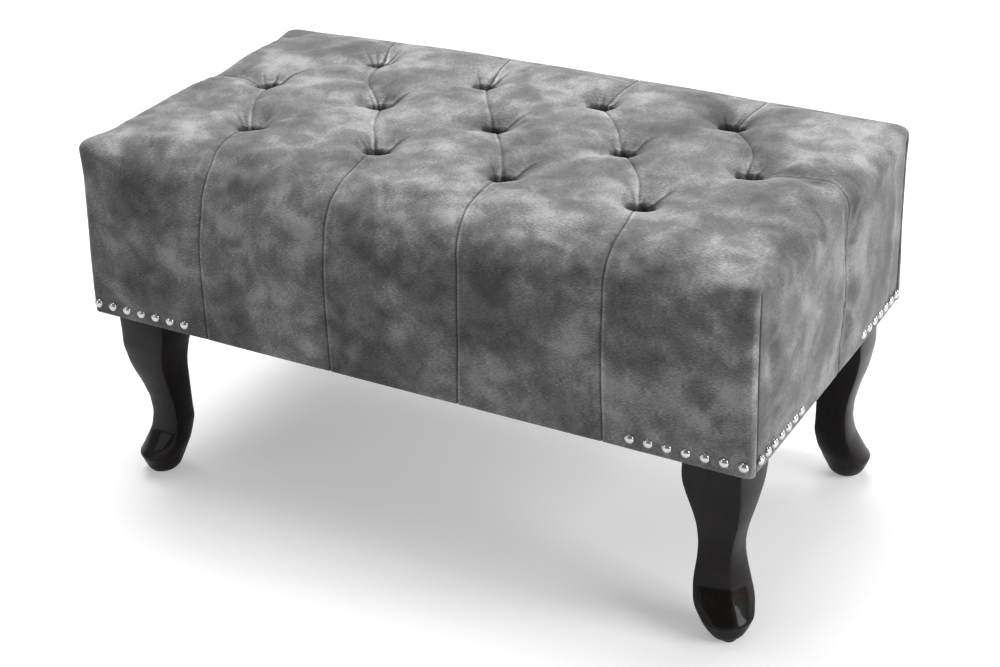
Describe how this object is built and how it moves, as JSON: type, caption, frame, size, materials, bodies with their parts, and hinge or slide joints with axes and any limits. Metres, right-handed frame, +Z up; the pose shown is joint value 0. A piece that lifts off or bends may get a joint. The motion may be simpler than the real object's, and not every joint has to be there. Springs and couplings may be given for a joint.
{
  "type": "upholstered bench",
  "caption": "Upholstered bench: a long rectangular cushion, diamond-tufted on top and panelled down its sides, with domed nail trim at the hem, on short cabriole legs.",
  "frame": {"origin": "on the floor, under the middle of the bench", "axes": "+X along the length, to the right seen from the front; the front faces -Y; +Z up"},
  "size_m": [0.8074, 0.4274, 0.43],
  "materials": {
    "velvet": "crushed velvet with a wadding backing",
    "foam": "open-cell upholstery foam",
    "twine": "waxed tufting twine",
    "black_cloth": "non-woven dust cloth",
    "softwood": "planed softwood",
    "plywood": "plywood",
    "lacquered_wood": "dark high-gloss lacquer",
    "nickel": "polished nickel plate",
    "steel": "zinc plated",
    "glide_plastic": "moulded"
  },
  "bodies": {
    "root": {"velvet_cover": "velvet", "tuft_buttons": "velvet", "tufting_twine": "twine", "twine_staples": "steel", "foam_block": "foam", "seat_deck": "plywood", "deck_staples": "steel", "rail_front": "softwood", "rail_back": "softwood", "rail_left": "softwood", "rail_right": "softwood", "cross_rail_left": "softwood", "cross_rail_right": "softwood", "corner_block_front_right": "softwood", "corner_block_front_left": "softwood", "corner_block_back_right": "softwood", "corner_block_back_left": "softwood", "corner_block_screws": "steel", "leg_front_right": "lacquered_wood", "leg_front_left": "lacquered_wood", "leg_back_right": "lacquered_wood", "leg_back_left": "lacquered_wood", "leg_hanger_bolts": "steel", "leg_tee_nuts": "steel", "leg_glides": "glide_plastic", "nails_front": "nickel", "nails_back": "nickel", "nails_left": "nickel", "nails_right": "nickel", "dust_cover": "black_cloth", "underside_staples": "steel"}
  },
  "joints": []
}
